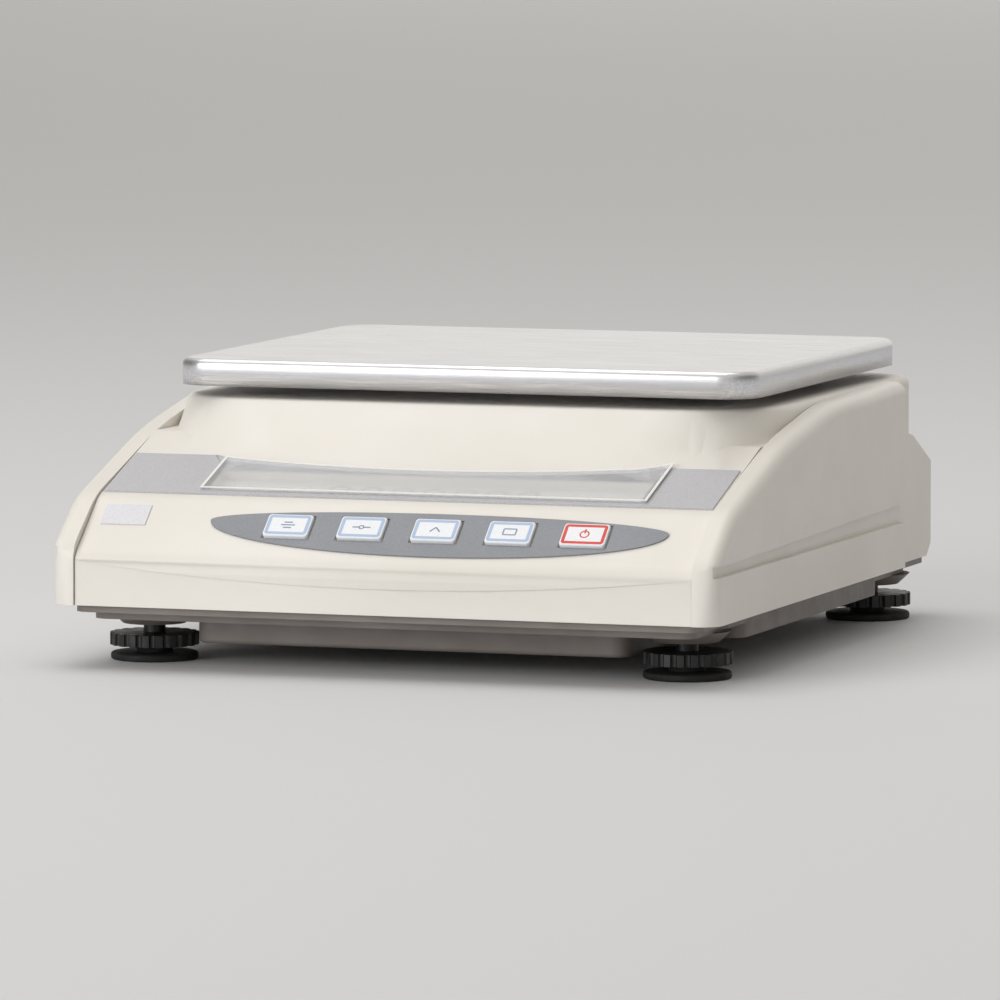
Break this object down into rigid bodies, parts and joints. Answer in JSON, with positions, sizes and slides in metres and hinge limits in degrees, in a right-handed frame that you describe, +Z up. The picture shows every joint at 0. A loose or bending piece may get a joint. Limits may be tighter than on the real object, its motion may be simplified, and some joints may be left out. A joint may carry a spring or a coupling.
{
  "type": "digital gram scale",
  "caption": "Bench-top digital gram scale with a lift-off steel pan, sloping display and key panel, levelling feet and an eye for weighing below.",
  "frame": {"origin": "on the table, under the centre of the body", "axes": "+X to the user's right, +Y to the back, +Z up"},
  "size_m": [0.19, 0.218, 0.08],
  "materials": {
    "ivory_abs": "fine matt texture",
    "grey_overlay": "satin printed film",
    "slate_overlay": "satin printed film",
    "window_acrylic": "polished",
    "lcd_glass": "satin",
    "key_white": "satin",
    "key_power": "satin",
    "stainless": "brushed",
    "die_cast": "cast and painted warm grey",
    "aluminium": "machined",
    "zinc_steel": "zinc plated",
    "black_plastic": "moulded",
    "black_rubber": "matt",
    "circuit_board": "solder mask",
    "component_black": "moulded",
    "connector_tin": "tinned",
    "contact_gold": "gold flash",
    "cable_grey": "soft vinyl",
    "level_fluid": "clear tinted",
    "label_foil": "satin foil"
  },
  "bodies": {
    "housing": {"base": "die_cast", "cover": "ivory_abs", "left_cheek": "ivory_abs", "right_cheek": "ivory_abs", "rear_housing": "ivory_abs", "rating_plate": "label_foil", "dc_jack": "black_plastic", "serial_port": "connector_tin", "serial_pins": "contact_gold", "display_panel": "grey_overlay", "display_window": "window_acrylic", "lcd": "lcd_glass", "display_board": "circuit_board", "key_panel": "slate_overlay", "key_switches": "black_plastic", "key_board": "circuit_board", "front_board_screws": "zinc_steel", "capacity_plate": "grey_overlay", "main_board": "circuit_board", "board_parts": "component_black", "board_screws": "zinc_steel", "case_screws": "zinc_steel", "display_ribbon": "cable_grey", "cell_cable": "cable_grey", "power_lead": "cable_grey", "load_cell_spacer": "aluminium", "load_cell": "aluminium", "load_cell_bolts": "zinc_steel", "overload_stop": "zinc_steel", "dust_collar": "black_rubber", "level_vial": "level_fluid", "level_lens": "window_acrylic", "hatch_screw": "zinc_steel"},
    "receiver": {"receiver_bracket": "aluminium", "receiver_bolts": "zinc_steel", "hook_stirrup": "aluminium", "stirrup_screws": "zinc_steel", "weighing_eye": "zinc_steel", "pan_carrier": "aluminium", "carrier_screws": "zinc_steel", "pan_bumpers": "black_rubber"},
    "pan": {"weighing_pan": "stainless"},
    "hatch": {"hook_hatch": "zinc_steel"},
    "key_1": {"key_1": "key_white"},
    "key_2": {"key_2": "key_white"},
    "key_3": {"key_3": "key_white"},
    "key_4": {"key_4": "key_white"},
    "key_5": {"key_5": "key_power"},
    "pad_front_left": {"foot_pad_front_left": "black_rubber"},
    "wheel_front_left": {"foot_wheel_front_left": "black_plastic"},
    "pad_front_right": {"foot_pad_front_right": "black_rubber"},
    "wheel_front_right": {"foot_wheel_front_right": "black_plastic"},
    "pad_rear_left": {"foot_pad_rear_left": "black_rubber"},
    "wheel_rear_left": {"foot_wheel_rear_left": "black_plastic"},
    "pad_rear_right": {"foot_pad_rear_right": "black_rubber"},
    "wheel_rear_right": {"foot_wheel_rear_right": "black_plastic"}
  },
  "joints": [
    {"name": "receiver_dip", "type": "slide", "parent": "housing", "child": "receiver", "axis": [0, 0, -1], "range_m": [0, 0.0005], "stiffness_N_per_m": 75000, "springref_m": -0.00006, "deforming": ["load_cell"]},
    {"name": "pan_lift_off", "type": "slide", "parent": "receiver", "child": "pan", "axis": [0, 0, 1], "range_m": [0, 0.03]},
    {"name": "hatch_swing", "type": "hinge", "parent": "housing", "child": "hatch", "pos_m": [0.017, 0.0275, 0.0048], "axis": [0, 0, 1], "range_deg": [-90, 0]},
    {"name": "key_1_press", "type": "slide", "parent": "housing", "child": "key_1", "axis": [0, 0.6388, -0.7694], "range_m": [0, 0.0006], "stiffness_N_per_m": 1500, "springref_m": -0.0003},
    {"name": "key_2_press", "type": "slide", "parent": "housing", "child": "key_2", "axis": [0, 0.6388, -0.7694], "range_m": [0, 0.0006], "stiffness_N_per_m": 1500, "springref_m": -0.0003},
    {"name": "key_3_press", "type": "slide", "parent": "housing", "child": "key_3", "axis": [0, 0.6388, -0.7694], "range_m": [0, 0.0006], "stiffness_N_per_m": 1500, "springref_m": -0.0003},
    {"name": "key_4_press", "type": "slide", "parent": "housing", "child": "key_4", "axis": [0, 0.6388, -0.7694], "range_m": [0, 0.0006], "stiffness_N_per_m": 1500, "springref_m": -0.0003},
    {"name": "key_5_press", "type": "slide", "parent": "housing", "child": "key_5", "axis": [0, 0.6388, -0.7694], "range_m": [0, 0.0006], "stiffness_N_per_m": 1500, "springref_m": -0.0003},
    {"name": "foot_front_left_extend", "type": "slide", "parent": "housing", "child": "pad_front_left", "axis": [0, 0, -1], "range_m": [-0.002, 0.004]},
    {"name": "foot_front_left_turn", "type": "hinge", "parent": "pad_front_left", "child": "wheel_front_left", "pos_m": [-0.0767, -0.077, 0.005], "axis": [0, 0, 1], "range_deg": [-1435, 715]},
    {"name": "foot_front_right_extend", "type": "slide", "parent": "housing", "child": "pad_front_right", "axis": [0, 0, -1], "range_m": [-0.002, 0.004]},
    {"name": "foot_front_right_turn", "type": "hinge", "parent": "pad_front_right", "child": "wheel_front_right", "pos_m": [0.0767, -0.077, 0.005], "axis": [0, 0, 1], "range_deg": [-1435, 715]},
    {"name": "foot_rear_left_extend", "type": "slide", "parent": "housing", "child": "pad_rear_left", "axis": [0, 0, -1], "range_m": [-0.002, 0.004]},
    {"name": "foot_rear_left_turn", "type": "hinge", "parent": "pad_rear_left", "child": "wheel_rear_left", "pos_m": [-0.0767, 0.091, 0.005], "axis": [0, 0, 1], "range_deg": [-1435, 715]},
    {"name": "foot_rear_right_extend", "type": "slide", "parent": "housing", "child": "pad_rear_right", "axis": [0, 0, -1], "range_m": [-0.002, 0.004]},
    {"name": "foot_rear_right_turn", "type": "hinge", "parent": "pad_rear_right", "child": "wheel_rear_right", "pos_m": [0.0767, 0.091, 0.005], "axis": [0, 0, 1], "range_deg": [-1435, 715]}
  ],
  "couplings": [
    {"joint": "foot_front_left_extend", "follows": "foot_front_left_turn", "m_per_rad": -0.00015915},
    {"joint": "foot_front_right_extend", "follows": "foot_front_right_turn", "m_per_rad": -0.00015915},
    {"joint": "foot_rear_left_extend", "follows": "foot_rear_left_turn", "m_per_rad": -0.00015915},
    {"joint": "foot_rear_right_extend", "follows": "foot_rear_right_turn", "m_per_rad": -0.00015915}
  ]
}
